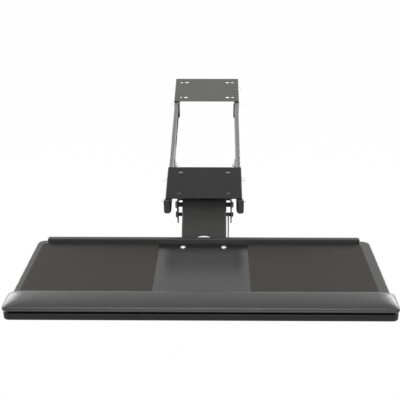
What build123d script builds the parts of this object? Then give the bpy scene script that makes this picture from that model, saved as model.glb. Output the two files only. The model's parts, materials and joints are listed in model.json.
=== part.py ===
from build123d import *
import math
import os

os.makedirs("parts", exist_ok=True)

# An under-desk keyboard tray on a sliding, swivelling, parallel lift arm.
# Millimetres. The origin is the centre of the front desk bracket's top face, where it
# meets the underside of the desk. X points right, Y points to the wall, Z points up.

# Desk brackets, folded steel channels screwed under the desk
bracket_width = 160.0
bracket_depth = 112.0
bracket_sheet = 1.6
bracket_drop = 36.0
bracket_bend = 2.4
slot_spacing = 103.0
slot_length = 10.5
slot_width = 8.0
hole_spacing = 129.0
hole_diameter = 7.5
hole_row_spacing = 75.0

# Ball-bearing rails, 20 inches long, hung inside the brackets' flanges
track_length = 508.0
rail_drop = 3.0
rail_height = 35.0
rail_width = 9.8
rail_sheet = 1.2
rail_corner = 2.0
rail_lip = 5.0
ball_diameter = 4.8
ball_clearance = 0.05
slide_length = 217.0
slide_tip = 1.6
slide_corner = 1.5
slide_proud = 0.6
slide_end_gap = 0.5
cage_length = 294.0
cage_sheet = 0.7
cage_gap = 0.3
cage_set_back = 32.0
balls_per_row = 5
travel = 160.0

# Countersunk screws and nuts that hold the rails in the brackets
rail_screw_diameter = 4.0
rail_screw_head = 8.0
rail_screw_reach = 9.0
rail_nut_flats = 7.0
rail_nut_height = 3.2
bore_clearance = 0.1

# Black caps that close the front of the rails, and rear stops between the rail lips
cap_width = 12.2
cap_outside = 3.6
cap_thickness = 4.0
cap_corner = 5.0
cap_edge = 1.0
prong_length = 8.0
prong_width = 2.9
prong_height = 3.1
stop_length = 14.0
stop_thickness = 2.5
stop_lap = 3.5

# Carriage, a folded plate between the two moving rails
carriage_sheet = 2.0
carriage_length = 112.0
carriage_drop = 37.0
carriage_flange = 27.0
carriage_set_back = 46.0
carriage_bolt_diameter = 5.0
carriage_bolt_head = 8.4
carriage_bolt_head_height = 3.2
carriage_nut_flats = 8.0
carriage_nut_height = 4.0
carriage_bolt_end = 1.0
carriage_bolt_inset = 7.0

# Swivel joint under the carriage
swivel_y = 32.0
swivel_bolt_diameter = 10.0
swivel_head_diameter = 22.0
swivel_head_height = 4.0
swivel_washer_diameter = 60.0
swivel_washer_thickness = 3.0
swivel_nut_flats = 17.0
swivel_nut_height = 8.0
swivel_bolt_end = 2.0
running_clearance = 0.05

# Yoke, a folded channel whose two ears carry the arm
yoke_width = 118.5
yoke_sheet = 2.5
yoke_bend = 7.0
yoke_front = -8.0
yoke_length = 86.0
yoke_depth = 65.0
yoke_corner = 6.0
ear_reach = 13.0

# Parallel arm: an upper shell and a lower link on pins 27 mm apart
arm_slope = 28.0
pin_y = -4.0
pin_z = -57.0
pin_spacing = 27.0
arm_reach = 130.0
arm_width = 95.0
arm_sheet = 2.0
arm_top = 9.5
arm_skirt = 14.0
arm_bend = 4.0
arm_rear_lap = 9.0
arm_notch = 16.0
arm_notch_width = 70.0
arm_corner = 8.0
arm_slot_length = 32.0
arm_slot_width = 12.0
arm_slot_along = 82.5
arm_rim_gap = 4.0
arm_rim_width = 5.0
arm_rim_height = 0.8
upper_pin_diameter = 10.0
lower_pin_diameter = 8.0
bush_wall = 1.5
bush_flange = 1.0
bush_rim = 2.0
pin_head_lap = 2.5
pin_head_height = 2.5
clip_height = 1.5
pin_end = 1.5
tube_wall = 2.0
link_width = 50.0
link_sheet = 2.0
link_half_height = 8.0
link_bend = 3.0
link_window_length = 60.0
link_window_width = 34.0
link_window_along = 60.0
rod_thickness = 3.0
rod_half_height = 5.0
rod_arm_gap = 3.0
spacer_wall = 2.0
spacer_gap = 0.5

# Tilt head between the arm and the tray bracket
head_width = 60.0
head_sheet = 3.0
head_upper_radius = 11.0
head_lower_radius = 9.0
head_tilt_radius = 12.0
head_web_share = 0.58
head_web_length = 24.0
tilt_forward = 33.0
tilt_rise = 12.0
tilt_bolt_diameter = 8.0
tilt_bolt_head = 16.0
tilt_bolt_head_height = 4.0
washer_thickness = 0.8
washer_diameter = 20.0
knob_diameter = 34.0
knob_length = 24.0
knob_boss_diameter = 18.0
knob_boss_length = 6.0
knob_lobes = 6
knob_lobe_diameter = 10.0
knob_edge = 1.5
knob_wall = 5.0

# Tray board, with a negative tilt, its rear edge lower than its front
tray_tilt = 16.4
tray_over_pin = 44.0
tray_behind_pin = 36.0
tray_width = 686.0
tray_depth = 233.0
tray_thickness = 16.0
tray_corner = 16.0
tray_edge = 2.5

# Mouse and keyboard pads
pad_thickness = 1.6
pad_inner = 90.5
left_pad_rim = 12.5
right_pad_rim = 20.5
pad_rear = 19.0
pad_front = 231.0
pad_corner = 8.0

# Stop bar along the rear of the tray
bar_length = 642.0
bar_depth = 10.0
bar_height = 9.5
bar_rear = 7.7
bar_edge = 2.5
bar_end = 4.0

# Palm rest along the front of the tray
rest_length = 696.0
rest_front = 298.0
rest_gap = 0.4
rest_top = 12.5
rest_bottom = 10.0
rest_bottom_inset = 2.5
rest_rear_rise = 1.5
rest_crown_share = 0.6
rest_front_share = 0.45
rest_end_round = 7.0
rest_end_length = 18.0
rest_end_steps = 4
rest_board_length = 682.0
rest_board_inset = 9.0
rest_board_thickness = 4.6
rest_base_length = 690.0
rest_base_thickness = 9.4
rest_base_lap = 34.0
rest_base_corner = 10.0
rest_base_inset = 2.0

# Tray bracket and the fasteners under the tray
mount_width = 112.0
mount_sheet = 2.5
mount_rear = 14.0
mount_front = 138.0
mount_corner = 8.0
ear_clearance = 1.0
ear_sheet = 2.5
ear_root = 22.0
tray_bolt_spacing = 83.2
tray_bolt_set_back = 32.0
tray_bolt_diameter = 6.0
tray_bolt_head = 12.0
tray_bolt_head_height = 3.0
tray_nut_flats = 10.0
tray_nut_height = 5.0
tray_bolt_end = 1.5
wood_screw_diameter = 4.0
wood_screw_head = 8.0
wood_screw_head_height = 2.4
wood_screw_grip = 10.0
mount_screw_set_back = 126.0
rest_screw_count = 5
rest_screw_spacing = 150.0
bar_screw_count = 4
bar_screw_spacing = 190.0
bar_screw_grip = 7.0

overrun = 5.0
sides = (("left", -1), ("right", 1))
up_from_base = (Align.CENTER, Align.CENTER, Align.MIN)
down_from_top = (Align.CENTER, Align.CENTER, Align.MAX)


def save(piece, name):
    piece.part.label = name
    export_step(piece.part, "parts/" + name + ".step")


# Places that follow from the sizes above
track_front = -bracket_depth / 2
track_rear = track_front + track_length
rear_bracket_y = track_rear - bracket_depth / 2
rail_face = bracket_width / 2 - bracket_sheet
rail_z = -rail_drop - rail_height / 2
ball_radius = ball_diameter / 2
ball_x = rail_width - rail_sheet - ball_clearance - ball_radius
ball_z = rail_height / 2 - rail_sheet - ball_clearance - ball_radius
race_corner = ball_radius + rail_sheet
slide_face = rail_width + slide_proud
slide_flange = ball_z - ball_radius - ball_clearance
slide_tip_x = ball_x - ball_radius - ball_clearance
slide_front = track_front + slide_end_gap
slide_rear = slide_front + slide_length
cage_front = track_front + cage_set_back
cage_rear = cage_front + cage_length
carriage_half = rail_face - slide_face
carriage_bolt_rows = (
    track_front + carriage_set_back + carriage_bolt_inset,
    track_front + carriage_set_back + carriage_length - carriage_bolt_inset,
)
upper_bore = upper_pin_diameter / 2 + bush_wall
lower_bore = lower_pin_diameter / 2 + bush_wall
slope = math.radians(arm_slope)
tilt = math.radians(tray_tilt)
bracket_rows = (-hole_row_spacing / 2, hole_row_spacing / 2)
rail_screw_places = [
    (y + row, side)
    for y in (0, rear_bracket_y)
    for row in bracket_rows
    for name, side in sides
]


def rail_screw(spread, mode):
    """Countersunk screw along the local axis, wider all round by spread"""
    head = rail_screw_head / 2 + spread
    shank = rail_screw_diameter / 2 + spread
    length = rail_sheet + bracket_sheet + rail_screw_reach
    Cone(head, shank, head - shank, align=up_from_base, mode=mode)
    Cylinder(shank, length, align=up_from_base, mode=mode)


def across(x, y, z, side):
    """Place at (x, y, z) whose local axis points outwards along X on one side"""
    return Location((side * x, y, z), (0, side * 90, 0))


# Desk brackets: folded channels, the rear one with a second set of holes
for bracket_name, bracket_y in (("front_desk_bracket", 0), ("rear_desk_bracket", rear_bracket_y)):
    with BuildPart() as bracket:
        with BuildSketch(Plane.XZ.offset(-(bracket_y + bracket_depth / 2))):
            with BuildLine():
                FilletPolyline(
                    (-bracket_width / 2, -bracket_drop),
                    (-bracket_width / 2, 0),
                    (bracket_width / 2, 0),
                    (bracket_width / 2, -bracket_drop),
                    radius=bracket_bend,
                )
                offset(amount=bracket_sheet, side=Side.RIGHT)
            make_face()
        extrude(amount=bracket_depth)
        with BuildSketch(Plane.XY.offset(overrun)):
            with Locations((0, bracket_y)):
                with GridLocations(slot_spacing, hole_row_spacing, 2, 2):
                    SlotOverall(slot_length, slot_width)
                if bracket_y:
                    with GridLocations(hole_spacing, hole_row_spacing, 2, 2):
                        Circle(hole_diameter / 2)
        extrude(amount=-(bracket_sheet + 2 * overrun), mode=Mode.SUBTRACT)
        for row in bracket_rows:
            for name, side in sides:
                with Locations(across(rail_face - rail_sheet, bracket_y + row, rail_z, side)):
                    rail_screw(bore_clearance, Mode.SUBTRACT)
    save(bracket, bracket_name)


def rail_point(x, z):
    """Point of a left rail's section: x inwards from its web, z up from its middle"""
    return (-rail_face + x, rail_z + z)


def mirrored(left_piece):
    """The right-hand piece, a mirror image of the left one"""
    with BuildPart() as right_piece:
        mirror(left_piece.part, about=Plane.YZ)
    return right_piece


# Outer rails: rolled C channels with a ball race in each corner by the lips
lip_end = rail_height / 2 - rail_lip
with BuildPart() as left_rail:
    with BuildSketch(Plane.XZ.offset(-track_rear)):
        with BuildLine():
            FilletPolyline(
                rail_point(rail_width, lip_end),
                rail_point(rail_width, rail_height / 2),
                rail_point(0, rail_height / 2),
                rail_point(0, -rail_height / 2),
                rail_point(rail_width, -rail_height / 2),
                rail_point(rail_width, -lip_end),
                radius=[race_corner, rail_corner, rail_corner, race_corner],
            )
            offset(amount=rail_sheet, side=Side.LEFT)
        make_face()
    extrude(amount=track_length)
    for y, side in rail_screw_places:
        if side < 0:
            with Locations(across(rail_face - rail_sheet, y, rail_z, side)):
                rail_screw(bore_clearance, Mode.SUBTRACT)
save(left_rail, "left_rail")
save(mirrored(left_rail), "right_rail")

# Screws and nuts that hold the rails
with BuildPart() as rail_screws:
    for y, side in rail_screw_places:
        with Locations(across(rail_face - rail_sheet, y, rail_z, side)):
            rail_screw(0, Mode.ADD)
save(rail_screws, "rail_screws")

with BuildPart() as rail_nuts:
    for y, side in rail_screw_places:
        with BuildSketch(Plane.YZ.offset(side * bracket_width / 2)):
            with Locations((y, rail_z)):
                RegularPolygon(rail_nut_flats / 2, 6, major_radius=False)
                Circle(rail_screw_diameter / 2 + running_clearance, mode=Mode.SUBTRACT)
        extrude(amount=side * rail_nut_height)
save(rail_nuts, "rail_nuts")

# Moving rails: inner channels that run on the balls, open towards the outer rail
tip_end = slide_flange + slide_tip
with BuildPart() as left_slide:
    with BuildSketch(Plane.XZ.offset(-slide_rear)):
        with BuildLine():
            FilletPolyline(
                rail_point(slide_tip_x, tip_end),
                rail_point(slide_tip_x, slide_flange),
                rail_point(slide_face, slide_flange),
                rail_point(slide_face, -slide_flange),
                rail_point(slide_tip_x, -slide_flange),
                rail_point(slide_tip_x, -tip_end),
                radius=slide_corner,
            )
            offset(amount=rail_sheet, side=Side.RIGHT)
        make_face()
    extrude(amount=slide_length)
    for y in carriage_bolt_rows:
        with Locations(across(rail_face - slide_face + rail_sheet, y, rail_z, -1)):
            Cylinder(
                carriage_bolt_diameter / 2 + bore_clearance,
                2 * overrun,
                mode=Mode.SUBTRACT,
            )
save(left_slide, "left_slide")
save(mirrored(left_slide), "right_slide")

# Ball cages: thin strips that keep the balls apart between the rails
cage_pitch = cage_length / balls_per_row
ball_rows = [cage_front + cage_pitch * (step + 1 / 2) for step in range(balls_per_row)]
cage_top = ball_z + cage_sheet / 2
cage_side = rail_sheet + cage_gap
cage_edge = rail_width - rail_sheet - cage_gap
with BuildPart() as left_cage:
    with BuildSketch(Plane.XZ.offset(-cage_rear)):
        with BuildLine():
            FilletPolyline(
                rail_point(cage_edge, cage_top),
                rail_point(cage_side, cage_top),
                rail_point(cage_side, -cage_top),
                rail_point(cage_edge, -cage_top),
                radius=cage_sheet,
            )
            offset(amount=cage_sheet, side=Side.LEFT)
        make_face()
    extrude(amount=cage_length)
    with BuildSketch(Plane.XY.offset(rail_z)):
        for y in ball_rows:
            with Locations((ball_x - rail_face, y)):
                Circle(ball_radius + bore_clearance)
    extrude(amount=rail_height / 2, both=True, mode=Mode.SUBTRACT)
save(left_cage, "left_ball_cage")
save(mirrored(left_cage), "right_ball_cage")

with BuildPart() as left_balls:
    for y in ball_rows:
        with Locations((ball_x - rail_face, y, rail_z - ball_z), (ball_x - rail_face, y, rail_z + ball_z)):
            Sphere(ball_radius)
save(left_balls, "left_slide_balls")
save(mirrored(left_balls), "right_slide_balls")

# Front end caps: a plate across the rail's end with two prongs in its races
cap_outer = bracket_width / 2 + cap_outside
prong_x = slide_tip_x + bore_clearance
prong_z = rail_height / 2 - rail_sheet - bore_clearance - prong_height
with BuildPart() as left_cap:
    with BuildSketch(Plane.XZ.offset(-track_front)):
        with Locations((-cap_outer, -rail_drop)):
            Rectangle(cap_width, rail_height, align=(Align.MIN, Align.MAX))
        fillet(vertices().group_by(Axis.X)[0], cap_corner)
    extrude(amount=cap_thickness)
    with BuildSketch(Plane.XZ.offset(-track_front)):
        for end, row in (((Align.MIN, Align.MIN), prong_z), ((Align.MIN, Align.MAX), -prong_z)):
            with Locations(rail_point(prong_x, row)):
                Rectangle(prong_width, prong_height, align=end)
    extrude(amount=-prong_length)
    fillet(faces().sort_by(Axis.Y)[0].edges().filter_by(Axis.Z).sort_by(Axis.X)[0], cap_edge)
save(left_cap, "left_end_cap")
save(mirrored(left_cap), "right_end_cap")

# Rear stops: moulded blocks snapped between the rail's lips
stop_front = slide_rear + travel
stop_half = lip_end + stop_lap
with BuildPart() as left_stop:
    with BuildSketch(Plane.XZ.offset(-(stop_front + stop_length))):
        with Locations(rail_point(rail_width, 0)):
            Rectangle(stop_thickness, 2 * stop_half, align=(Align.MIN, Align.CENTER))
            Rectangle(
                rail_sheet,
                2 * (lip_end - bore_clearance),
                align=(Align.MAX, Align.CENTER),
            )
    extrude(amount=stop_length)
    fillet(edges().filter_by(Axis.Y).group_by(Axis.X)[-1], stop_thickness / 3)
save(left_stop, "left_rear_stop")
save(mirrored(left_stop), "right_rear_stop")

# Carriage plate: a folded tray bolted between the moving rails
carriage_front = track_front + carriage_set_back
carriage_rear = carriage_front + carriage_length
with BuildPart() as carriage:
    with BuildSketch(Plane.XZ.offset(-carriage_rear)):
        with BuildLine():
            FilletPolyline(
                (-carriage_half, carriage_flange - carriage_drop),
                (-carriage_half, -carriage_drop),
                (carriage_half, -carriage_drop),
                (carriage_half, carriage_flange - carriage_drop),
                radius=bracket_bend,
            )
            offset(amount=carriage_sheet, side=Side.LEFT)
        make_face()
    extrude(amount=carriage_length)
    with Locations((0, swivel_y, -carriage_drop)):
        Cylinder(
            swivel_bolt_diameter / 2 + running_clearance,
            overrun,
            align=up_from_base,
            mode=Mode.SUBTRACT,
        )
    with BuildSketch(Plane.YZ.offset(-carriage_half - overrun)):
        for y in carriage_bolt_rows:
            with Locations((y, rail_z)):
                Circle(carriage_bolt_diameter / 2 + bore_clearance)
    extrude(amount=bracket_width, mode=Mode.SUBTRACT)
save(carriage, "carriage_plate")

with BuildPart() as carriage_bolts:
    for y in carriage_bolt_rows:
        for name, side in sides:
            inner = rail_face - slide_face + rail_sheet
            with Locations(across(inner, y, rail_z, side)):
                Cylinder(
                    carriage_bolt_head / 2,
                    carriage_bolt_head_height,
                    align=up_from_base,
                )
                Cylinder(
                    carriage_bolt_diameter / 2,
                    rail_sheet + carriage_sheet + carriage_nut_height + carriage_bolt_end,
                    align=down_from_top,
                )
save(carriage_bolts, "carriage_bolts")

with BuildPart() as carriage_nuts:
    for y in carriage_bolt_rows:
        for name, side in sides:
            with BuildSketch(Plane.YZ.offset(side * (carriage_half - carriage_sheet))):
                with Locations((y, rail_z)):
                    RegularPolygon(carriage_nut_flats / 2, 6, major_radius=False)
                    Circle(carriage_bolt_diameter / 2 + running_clearance, mode=Mode.SUBTRACT)
            extrude(amount=-side * carriage_nut_height)
save(carriage_nuts, "carriage_nuts")

# Swivel: bolt, nylon washer and nut that join the yoke to the carriage
yoke_z = -carriage_drop - swivel_washer_thickness
yoke_under = yoke_z - yoke_sheet
with BuildPart() as swivel_bolt:
    with Locations((0, swivel_y, carriage_sheet - carriage_drop)):
        Cylinder(swivel_head_diameter / 2, swivel_head_height, align=up_from_base)
    chamfer(edges().group_by(Axis.Z)[-1], swivel_head_height / 3)
    with Locations((0, swivel_y, carriage_sheet - carriage_drop)):
        Cylinder(
            swivel_bolt_diameter / 2,
            carriage_sheet - carriage_drop - yoke_under + swivel_nut_height + swivel_bolt_end,
            align=down_from_top,
        )
save(swivel_bolt, "swivel_bolt")

with BuildPart() as swivel_washer:
    with BuildSketch(Plane.XY.offset(-carriage_drop)):
        with Locations((0, swivel_y)):
            Circle(swivel_washer_diameter / 2)
            Circle(swivel_bolt_diameter / 2 + running_clearance, mode=Mode.SUBTRACT)
    extrude(amount=-swivel_washer_thickness)
save(swivel_washer, "swivel_washer")

with BuildPart() as swivel_nut:
    with BuildSketch(Plane.XY.offset(yoke_under)):
        with Locations((0, swivel_y)):
            RegularPolygon(swivel_nut_flats / 2, 6, major_radius=False)
            Circle(swivel_bolt_diameter / 2 + running_clearance, mode=Mode.SUBTRACT)
    extrude(amount=-swivel_nut_height)
save(swivel_nut, "swivel_nut")

# Yoke: a folded channel, its ears tapering down past the two rear pins
lower_pin_z = pin_z - pin_spacing
yoke_rear = yoke_front + yoke_length
ear_front = pin_y - ear_reach
yoke_outline = (
    (yoke_front, yoke_z),
    (yoke_front, yoke_z - yoke_bend),
    (ear_front, pin_z),
    (ear_front, lower_pin_z),
    (pin_y - ear_reach / 2, yoke_z - yoke_depth),
    (pin_y + ear_reach / 2, yoke_z - yoke_depth),
    (pin_y + 2 * ear_reach, lower_pin_z),
    (yoke_rear, yoke_z - 2 * yoke_bend),
    (yoke_rear, yoke_z),
)
with BuildPart() as yoke:
    with BuildSketch(Plane.XZ.offset(-yoke_rear)):
        with BuildLine():
            FilletPolyline(
                (-yoke_width / 2, yoke_z - yoke_depth),
                (-yoke_width / 2, yoke_z),
                (yoke_width / 2, yoke_z),
                (yoke_width / 2, yoke_z - yoke_depth),
                radius=yoke_bend,
            )
            offset(amount=yoke_sheet, side=Side.RIGHT)
        make_face()
    extrude(amount=yoke_rear - ear_front)
    with BuildSketch(Plane.YZ):
        with BuildLine():
            Polyline(*yoke_outline, close=True)
        make_face()
        fillet(vertices().group_by(Axis.Y)[0] + vertices().group_by(Axis.Y)[1], yoke_corner)
    extrude(amount=yoke_width, both=True, mode=Mode.INTERSECT)
    with Locations((0, swivel_y, yoke_z)):
        Cylinder(swivel_bolt_diameter / 2 + running_clearance, 2 * overrun, mode=Mode.SUBTRACT)
    with BuildSketch(Plane.YZ.offset(-yoke_width)):
        with Locations((pin_y, pin_z)):
            Circle(upper_bore)
        with Locations((pin_y, lower_pin_z)):
            Circle(lower_bore)
    extrude(amount=2 * yoke_width, mode=Mode.SUBTRACT)
save(yoke, "yoke")


# Places of the arm's front pins, the tilt bolt and the tray
front_pin_y = pin_y - arm_reach * math.cos(slope)
front_pin_z = pin_z - arm_reach * math.sin(slope)
tilt_y = front_pin_y - tilt_forward
tilt_z = front_pin_z + tilt_rise
tray_y = tilt_y + tray_behind_pin * math.cos(tilt) + tray_over_pin * math.sin(tilt)
tray_z = tilt_z - tray_behind_pin * math.sin(tilt) + tray_over_pin * math.cos(tilt)
arm_back = (0, math.cos(slope), math.sin(slope))
arm_ahead = (0, -math.cos(slope), -math.sin(slope))
arm_up = (0, -math.sin(slope), math.cos(slope))
arm_side = Plane((0, pin_y, pin_z), x_dir=arm_back, z_dir=(1, 0, 0))
link_side = Plane((0, pin_y, lower_pin_z), x_dir=arm_back, z_dir=(1, 0, 0))
arm_face = Plane((0, pin_y, pin_z), x_dir=(1, 0, 0), z_dir=arm_up)
arm_end = Plane((0, pin_y, pin_z), x_dir=(1, 0, 0), z_dir=arm_ahead)
link_end = Plane((0, pin_y, lower_pin_z), x_dir=(1, 0, 0), z_dir=arm_ahead)
tray_face = Plane((0, tray_y, tray_z), x_dir=(1, 0, 0), z_dir=(0, math.sin(tilt), math.cos(tilt)))
tray_side = Plane((0, tray_y, tray_z), x_dir=(0, math.cos(tilt), -math.sin(tilt)), z_dir=(1, 0, 0))


def cross_pin(y, z, radius, start, end, head=0, clip=0):
    """Pin along X with a head at its left end and a snap ring near its right end"""
    with BuildPart() as pin:
        with BuildSketch(Plane.YZ.offset(start)):
            with Locations((y, z)):
                Circle(radius)
        extrude(amount=end - start)
        if head:
            with BuildSketch(Plane.YZ.offset(start)):
                with Locations((y, z)):
                    Circle(radius + head)
            extrude(amount=-pin_head_height)
            chamfer(edges().group_by(Axis.X)[0], pin_head_height / 4)
        if clip:
            with BuildSketch(Plane.YZ.offset(end - pin_end)):
                with Locations((y, z)):
                    Circle(radius + clip)
            extrude(amount=-clip_height)
    return pin


def tube(piece_y, piece_z, inner, outer, start, end):
    """Tube along X from start to end, added to the part being built"""
    with BuildSketch(Plane.YZ.offset(start)) as ring:
        with Locations((piece_y, piece_z)):
            Circle(outer)
            Circle(inner, mode=Mode.SUBTRACT)
    extrude(ring.sketch, amount=end - start)


# Rear pins, with nylon bushes in the yoke's ears
ear_outer = yoke_width / 2
ear_inner = ear_outer - yoke_sheet
rear_start = -ear_outer - bush_flange
rear_end = ear_outer + bush_flange + clip_height + pin_end
for pin_name, z, diameter in (
    ("upper_rear_pin", pin_z, upper_pin_diameter),
    ("lower_rear_pin", lower_pin_z, lower_pin_diameter),
):
    save(
        cross_pin(pin_y, z, diameter / 2, rear_start, rear_end, pin_head_lap, clip_height),
        pin_name,
    )

with BuildPart() as yoke_bushes:
    for z, diameter, bore in (
        (pin_z, upper_pin_diameter, upper_bore),
        (lower_pin_z, lower_pin_diameter, lower_bore),
    ):
        inner = diameter / 2 + running_clearance
        for name, side in sides:
            tube(pin_y, z, inner, bore, side * ear_inner, side * ear_outer)
            tube(pin_y, z, inner, bore + bush_rim, side * ear_outer, side * (ear_outer + bush_flange))
save(yoke_bushes, "yoke_bushes")

# Arm shell: a folded channel, open below, with an oval hand hole in a pressed rim
arm_length = arm_rear_lap + arm_reach + arm_rear_lap
with BuildPart() as arm:
    with BuildSketch(arm_end.offset(-arm_rear_lap)):
        with BuildLine():
            FilletPolyline(
                (-arm_width / 2, -arm_skirt),
                (-arm_width / 2, arm_top),
                (arm_width / 2, arm_top),
                (arm_width / 2, -arm_skirt),
                radius=arm_bend,
            )
            offset(amount=arm_sheet, side=Side.RIGHT)
        make_face()
    extrude(amount=arm_length)
    with BuildSketch(arm_side):
        with Locations((arm_rear_lap, arm_top)):
            Rectangle(arm_length, arm_top + arm_skirt, align=(Align.MAX, Align.MAX))
        fillet(vertices().group_by(Axis.Y)[0], arm_corner)
    extrude(amount=arm_width, both=True, mode=Mode.INTERSECT)
    with BuildSketch(arm_face.offset(arm_top)):
        with Locations((0, -arm_slot_along)):
            Ellipse(
                arm_slot_length / 2 + arm_rim_gap + arm_rim_width,
                arm_slot_width / 2 + arm_rim_gap + arm_rim_width,
            )
            Ellipse(
                arm_slot_length / 2 + arm_rim_gap,
                arm_slot_width / 2 + arm_rim_gap,
                mode=Mode.SUBTRACT,
            )
    extrude(amount=arm_rim_height)
    with BuildSketch(arm_face):
        with Locations((0, arm_notch - arm_reach)):
            Rectangle(
                arm_notch_width,
                arm_notch + arm_rear_lap + overrun,
                align=(Align.CENTER, Align.MAX),
            )
        with Locations((0, -arm_slot_along)):
            Ellipse(arm_slot_length / 2, arm_slot_width / 2)
    extrude(amount=arm_top + overrun, mode=Mode.SUBTRACT)
    with BuildSketch(arm_side.offset(-arm_width)):
        Circle(upper_pin_diameter / 2 + running_clearance + tube_wall)
        with Locations((-arm_reach, 0)):
            Circle(upper_bore)
    extrude(amount=2 * arm_width, mode=Mode.SUBTRACT)
save(arm, "arm_shell")

with BuildPart() as arm_tube:
    tube(
        pin_y,
        pin_z,
        upper_pin_diameter / 2 + running_clearance,
        upper_pin_diameter / 2 + running_clearance + tube_wall,
        -arm_width / 2,
        arm_width / 2,
    )
save(arm_tube, "arm_pivot_tube")

with BuildPart() as arm_bushes:
    inner = upper_pin_diameter / 2 + running_clearance
    for name, side in sides:
        arm_outer = side * arm_width / 2
        arm_inner = side * (arm_width / 2 - arm_sheet)
        tube(front_pin_y, front_pin_z, inner, upper_bore, arm_inner, arm_outer)
        tube(
            front_pin_y,
            front_pin_z,
            inner,
            upper_bore + bush_rim,
            arm_outer,
            arm_outer + side * bush_flange,
        )
save(arm_bushes, "arm_bushes")

# Lower link: a narrow folded channel, open above, between the two lower pins
link_length = link_half_height + arm_reach + link_half_height
with BuildPart() as link:
    with BuildSketch(link_end.offset(-link_half_height)):
        with BuildLine():
            FilletPolyline(
                (-link_width / 2, link_half_height),
                (-link_width / 2, -link_half_height),
                (link_width / 2, -link_half_height),
                (link_width / 2, link_half_height),
                radius=link_bend,
            )
            offset(amount=link_sheet, side=Side.LEFT)
        make_face()
    extrude(amount=link_length)
    with BuildSketch(link_side):
        with Locations((-arm_reach / 2, 0)):
            SlotOverall(link_length, 2 * link_half_height)
            Rectangle(link_length, link_half_height, align=(Align.CENTER, Align.MIN))
        fillet(vertices().group_by(Axis.Y)[-1], link_half_height / 2)
    extrude(amount=link_width, both=True, mode=Mode.INTERSECT)
    with BuildSketch(link_side.offset(-link_width)):
        with Locations((0, 0), (-arm_reach, 0)):
            Circle(lower_pin_diameter / 2 + running_clearance)
    extrude(amount=2 * link_width, mode=Mode.SUBTRACT)
    with BuildSketch(Plane(link_end.origin, x_dir=(1, 0, 0), z_dir=arm_up)):
        with Locations((0, -link_window_along)):
            RectangleRounded(link_window_width, link_window_length, link_half_height)
    extrude(amount=-(link_half_height + overrun), mode=Mode.SUBTRACT)
save(link, "lower_link")

# Side rod: a flat zinc bar on the right, parallel to the lower link
rod_inner = arm_width / 2 + rod_arm_gap
with BuildPart() as rod:
    with BuildSketch(link_side.offset(rod_inner)):
        with Locations((-arm_reach / 2, 0)):
            SlotOverall(arm_reach + 2 * rod_half_height, 2 * rod_half_height)
        with Locations((0, 0), (-arm_reach, 0)):
            Circle(lower_pin_diameter / 2 + running_clearance, mode=Mode.SUBTRACT)
    extrude(amount=rod_thickness)
save(rod, "side_rod")

# Sleeves that keep the lower link in the middle of its rear pin
spacer_inner = lower_pin_diameter / 2 + running_clearance
with BuildPart() as link_spacers:
    for name, side in sides:
        tube(
            pin_y,
            lower_pin_z,
            spacer_inner,
            spacer_inner + spacer_wall,
            side * (link_width / 2 + spacer_gap),
            side * (arm_width / 2 - arm_sheet - spacer_gap),
        )
save(link_spacers, "link_spacers")

# Tilt head: two plates and a web, carried by the front pins and carrying the tilt bolt
lower_front_z = front_pin_z - pin_spacing
head_plate = head_width / 2 - head_sheet
web_y = front_pin_y + head_web_share * (tilt_y - front_pin_y)
web_z = lower_front_z + head_web_share * (tilt_z - lower_front_z)
web_angle = math.degrees(math.atan2(tilt_z - lower_front_z, tilt_y - front_pin_y)) + 90
with BuildPart() as head:
    with BuildSketch(Plane.YZ.offset(-head_width / 2)) as head_sketch:
        with Locations((front_pin_y, front_pin_z)):
            Circle(head_upper_radius)
        with Locations((front_pin_y, lower_front_z)):
            Circle(head_lower_radius)
        with Locations((tilt_y, tilt_z)):
            Circle(head_tilt_radius)
        make_hull(head_sketch.sketch_local.edges())
    extrude(amount=head_width)
    with BuildSketch(Plane.YZ.offset(-head_plate)):
        with Locations((web_y, web_z)):
            Rectangle(bracket_depth, bracket_depth)
            Rectangle(head_web_length, head_sheet, rotation=web_angle, mode=Mode.SUBTRACT)
    extrude(amount=2 * head_plate, mode=Mode.SUBTRACT)
    with BuildSketch(Plane.YZ.offset(-head_width)):
        with Locations((front_pin_y, front_pin_z)):
            Circle(upper_pin_diameter / 2 + running_clearance)
        with Locations((front_pin_y, lower_front_z)):
            Circle(lower_pin_diameter / 2 + running_clearance)
        with Locations((tilt_y, tilt_z)):
            Circle(tilt_bolt_diameter / 2 + running_clearance)
    extrude(amount=2 * head_width, mode=Mode.SUBTRACT)
save(head, "tilt_head")

# Front pins, and sleeves that centre the head in the arm
upper_end = arm_width / 2 + bush_flange
save(
    cross_pin(
        front_pin_y,
        front_pin_z,
        upper_pin_diameter / 2,
        -upper_end - bore_clearance,
        upper_end + bore_clearance + clip_height + pin_end - rod_thickness / 2,
        pin_head_lap,
    ),
    "upper_front_pin",
)
save(
    cross_pin(
        front_pin_y,
        lower_front_z,
        lower_pin_diameter / 2,
        -head_width / 2,
        rod_inner + rod_thickness + bore_clearance + clip_height + pin_end,
        pin_head_lap,
        clip_height,
    ),
    "lower_front_pin",
)
with BuildPart() as head_spacers:
    inner = upper_pin_diameter / 2 + running_clearance
    for name, side in sides:
        tube(
            front_pin_y,
            front_pin_z,
            inner,
            upper_bore,
            side * head_width / 2,
            side * (arm_width / 2 - arm_sheet - spacer_gap),
        )
save(head_spacers, "head_spacers")

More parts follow.
